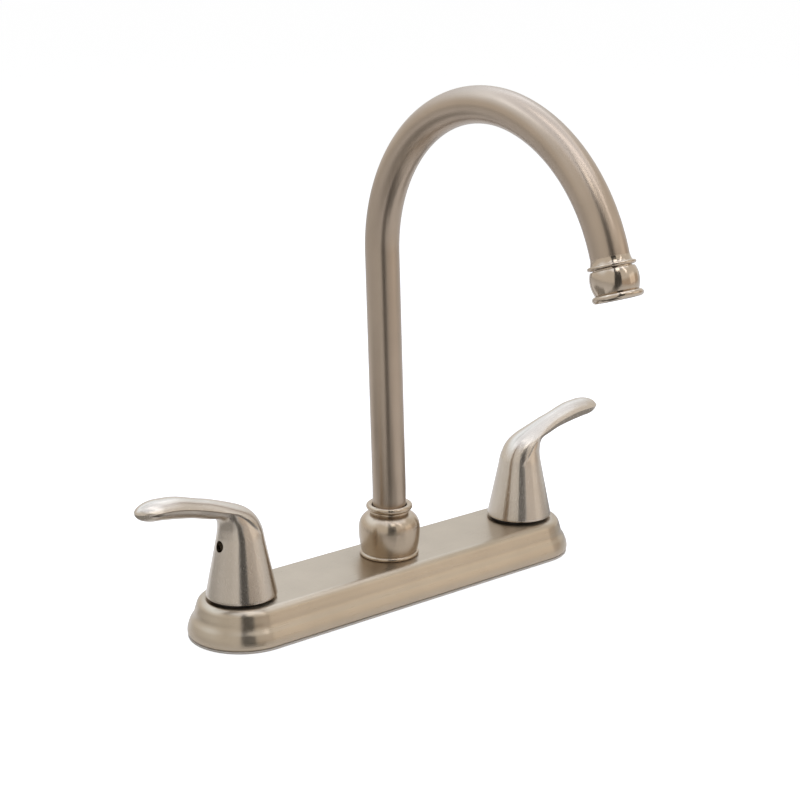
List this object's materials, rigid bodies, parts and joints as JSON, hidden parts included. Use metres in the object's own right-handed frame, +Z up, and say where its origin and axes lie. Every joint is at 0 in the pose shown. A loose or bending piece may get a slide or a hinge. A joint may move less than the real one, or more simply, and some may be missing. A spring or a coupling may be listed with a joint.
{
  "type": "kitchen faucet",
  "caption": "Two-handle kitchen faucet with a high-arc swivel spout, lever handles and a long stadium-shaped deck plate in brushed nickel.",
  "frame": {"origin": "middle of the base gasket's underside, where the faucet rests on the sink deck, half way between the two valve axes", "axes": "+Z up out of the deck, +X along the deck plate towards the cold side, -Y over the sink bowl"},
  "size_m": [0.3282, 0.2097, 0.3351],
  "materials": {
    "brushed_nickel": "brushed nickel plating, warm satin",
    "handle_nickel": "brushed nickel plating, finer satin",
    "cast_brass": "cast and machined brass",
    "turned_brass": "turned brass",
    "copper": "drawn copper tube",
    "grey_gasket": "grey moulded gasket",
    "black_plastic": "black moulded plastic",
    "white_acetal": "natural acetal",
    "ceramic": "lapped alumina, polished",
    "seal_rubber": "black rubber",
    "zinc_steel": "zinc plated steel",
    "black_steel": "black oxide steel",
    "stainless_mesh": "woven stainless steel"
  },
  "bodies": {
    "deck_assembly": {"deck_plate": "brushed_nickel", "spout_hub": "brushed_nickel", "left_valve_body": "cast_brass", "right_valve_body": "cast_brass", "spout_body": "cast_brass", "left_bonnet_nut": "turned_brass", "right_bonnet_nut": "turned_brass", "left_lock_nut": "turned_brass", "right_lock_nut": "turned_brass", "left_cross_tube": "copper", "right_cross_tube": "copper", "base_gasket": "grey_gasket", "left_base_ring": "black_plastic", "right_base_ring": "black_plastic", "left_cartridge_housing": "white_acetal", "right_cartridge_housing": "white_acetal", "spout_bushing": "white_acetal", "left_fixed_disc": "ceramic", "right_fixed_disc": "ceramic", "left_seat_seal": "seal_rubber", "right_seat_seal": "seal_rubber", "left_shank_washer": "zinc_steel", "right_shank_washer": "zinc_steel"},
    "hot_handle": {"left_handle": "handle_nickel", "left_set_screw": "black_steel", "left_stem": "turned_brass", "left_stem_seal": "seal_rubber", "left_moving_disc": "ceramic"},
    "cold_handle": {"right_handle": "handle_nickel", "right_set_screw": "black_steel", "right_stem": "turned_brass", "right_stem_seal": "seal_rubber", "right_moving_disc": "ceramic"},
    "swivel_spout": {"spout_adapter": "turned_brass", "spout_seals": "seal_rubber", "spout_tube": "brushed_nickel", "tip_ferrule": "brushed_nickel", "aerator_housing": "brushed_nickel", "aerator_washer": "seal_rubber", "aerator_insert": "black_plastic", "aerator_screen": "stainless_mesh"}
  },
  "joints": [
    {"name": "hot_turn", "type": "hinge", "parent": "deck_assembly", "child": "hot_handle", "pos_m": [-0.1016, 0, 0.04], "axis": [0, 0, 1], "range_deg": [0, 90]},
    {"name": "cold_turn", "type": "hinge", "parent": "deck_assembly", "child": "cold_handle", "pos_m": [0.1016, 0, 0.04], "axis": [0, 0, 1], "range_deg": [-90, 0]},
    {"name": "spout_swivel", "type": "hinge", "parent": "deck_assembly", "child": "swivel_spout", "pos_m": [0, 0, 0.04], "axis": [0, 0, 1], "continuous": true}
  ]
}
